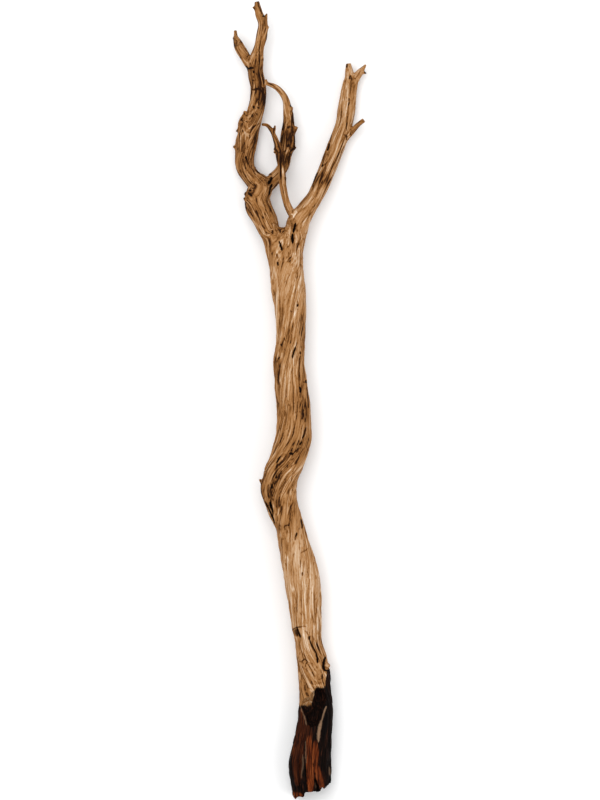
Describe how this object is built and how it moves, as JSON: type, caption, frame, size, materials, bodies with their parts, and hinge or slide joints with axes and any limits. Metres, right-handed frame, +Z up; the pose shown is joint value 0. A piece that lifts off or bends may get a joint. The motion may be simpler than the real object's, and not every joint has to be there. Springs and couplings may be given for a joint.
{
  "type": "driftwood branch",
  "caption": "Twisted, sand-worn driftwood branch with a hollow broken base, a fork and snapped twigs; lies on a surface as decor, display support or perch.",
  "frame": {"origin": "on the surface that the branch lies on, under the middle of its bounding box", "axes": "+Y along the branch from the broken base to the tips, +Z up from the surface, +X to the right seen from above with the tips away from the viewer"},
  "size_m": [0.2026, 1.196, 0.0667],
  "materials": {
    "weathered_wood": "bare, sand-worn, matte tan ridges over rust-brown grooves, dark rot hollows"
  },
  "bodies": {
    "root": {"driftwood": "weathered_wood"}
  },
  "joints": []
}
